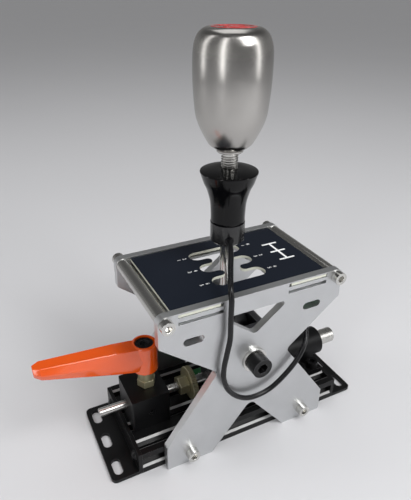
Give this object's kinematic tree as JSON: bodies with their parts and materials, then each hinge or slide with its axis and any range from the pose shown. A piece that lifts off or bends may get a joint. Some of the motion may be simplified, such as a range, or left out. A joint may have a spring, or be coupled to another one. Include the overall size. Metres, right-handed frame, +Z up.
{
  "type": "gear shifter",
  "caption": "H-pattern sim racing gear shifter: gimballed lever with lift ring and turned knob, X-shaped side plates on a slotted rail, and a clamped friction rod.",
  "frame": {"origin": "middle of the base rail's underside", "axes": "+X along the rail towards the forward gears, +Y to the far side plate, +Z up"},
  "size_m": [0.2691, 0.1186, 0.3098],
  "materials": {
    "rail_black": "black anodised, satin",
    "foot_black": "black powder coat",
    "block_black": "black anodised, machined",
    "plate_silver": "bead blasted, clear anodised",
    "gate_laminate": "glass-fibre laminate, routed edges",
    "yoke_metal": "machined",
    "fork_grey": "dark anodised",
    "knob_metal": "turned, satin polished",
    "stainless": "turned stainless",
    "plain_steel": "ground",
    "spring_steel": "drawn wire",
    "black_steel": "black oxide",
    "magnet": "nickel plated",
    "brass": "machined brass",
    "zinc_yellow": "pale brass, knurled and machined",
    "film_navy": "satin printed film",
    "board_green": "solder mask",
    "plug_ivory": "moulded",
    "housing_black": "turned black plastic",
    "ring_black": "polished black plastic",
    "inlay_red": "enamel fill",
    "grip_orange": "moulded plastic, fine texture",
    "cable_black": "matte jacket"
  },
  "bodies": {
    "frame": {"base_rail": "rail_black", "left_foot_bracket": "foot_black", "right_foot_bracket": "foot_black", "foot_bracket_screws": "black_steel", "front_side_plate": "plate_silver", "rear_side_plate": "plate_silver", "rail_bolts": "stainless", "rail_t_nuts": "plain_steel", "left_corner_tube": "stainless", "right_corner_tube": "stainless", "corner_bolts": "stainless", "gate_plate": "gate_laminate", "gate_film": "film_navy", "guide_plate": "plate_silver", "pivot_bushes": "stainless", "controller_board": "board_green", "board_standoffs": "brass", "usb_socket": "plain_steel", "cable_plug": "plug_ivory", "shift_sensor_board": "board_green", "clamp_block": "block_black", "block_screws": "black_steel", "block_grub_screw": "black_steel", "bearing_block": "block_black", "bearing_block_screws": "black_steel", "shaft_bush": "brass", "friction_pad": "brass", "lower_cable": "cable_black"},
    "yoke": {"pivot_bolts": "black_steel", "thrust_washers": "stainless", "gimbal_yoke": "yoke_metal", "cross_pin": "plain_steel", "select_sensor_board": "board_green", "front_centring_spring": "spring_steel", "rear_centring_spring": "spring_steel"},
    "lever": {"lever_hub": "yoke_metal", "hub_bushes": "brass", "tail_magnet": "magnet", "lever_stem": "stainless", "switch_housing": "housing_black", "lift_switch": "housing_black", "cable_gland": "cable_black", "spring_collar": "plain_steel", "ring_spring": "spring_steel", "gear_knob": "knob_metal", "knob_inlay": "inlay_red", "upper_cable": "cable_black"},
    "ring": {"lift_ring": "ring_black"},
    "rod": {"friction_rod": "plain_steel", "lock_nut": "zinc_yellow", "drive_fork": "fork_grey", "fork_magnet": "magnet", "bearing_shaft": "plain_steel"},
    "wheel": {"thumb_wheel": "zinc_yellow"},
    "clamp": {"clamp_screw": "zinc_yellow", "retaining_screw": "black_steel", "grip_spring": "spring_steel"},
    "grip": {"clamping_lever": "grip_orange"}
  },
  "joints": [
    {"name": "shift_tilt", "type": "hinge", "parent": "frame", "child": "yoke", "pos_m": [0, 0, 0.084], "axis": [0, 1, 0], "range_deg": [-14.5, 14.5], "deforming": ["lower_cable"]},
    {"name": "gate_select", "type": "hinge", "parent": "yoke", "child": "lever", "pos_m": [0, 0, 0.084], "axis": [1, 0, 0], "range_deg": [-18.5, 18.5], "stiffness_Nm_per_rad": 4, "deforming": ["front_centring_spring", "rear_centring_spring", "upper_cable"]},
    {"name": "ring_lift", "type": "slide", "parent": "lever", "child": "ring", "axis": [0, 0, 1], "range_m": [0, 0.01], "stiffness_N_per_m": 350, "springref_m": -0.006, "deforming": ["ring_spring"]},
    {"name": "rod_slide", "type": "slide", "parent": "frame", "child": "rod", "axis": [1, 0, 0], "range_m": [-0.0125, 0.0125]},
    {"name": "wheel_turn", "type": "hinge", "parent": "rod", "child": "wheel", "pos_m": [-0.032, 0, 0.035], "axis": [1, 0, 0], "range_deg": [-180, 180]},
    {"name": "clamp_turn", "type": "hinge", "parent": "frame", "child": "clamp", "pos_m": [-0.07, 0, 0.06], "axis": [0, 0, 1], "range_deg": [-90, 90]},
    {"name": "grip_lift", "type": "slide", "parent": "clamp", "child": "grip", "axis": [0, 0, 1], "range_m": [0, 0.004], "stiffness_N_per_m": 900, "springref_m": -0.003, "deforming": ["grip_spring"]}
  ],
  "couplings": [
    {"joint": "rod_slide", "follows": "shift_tilt", "m_per_rad": -0.0485}
  ]
}
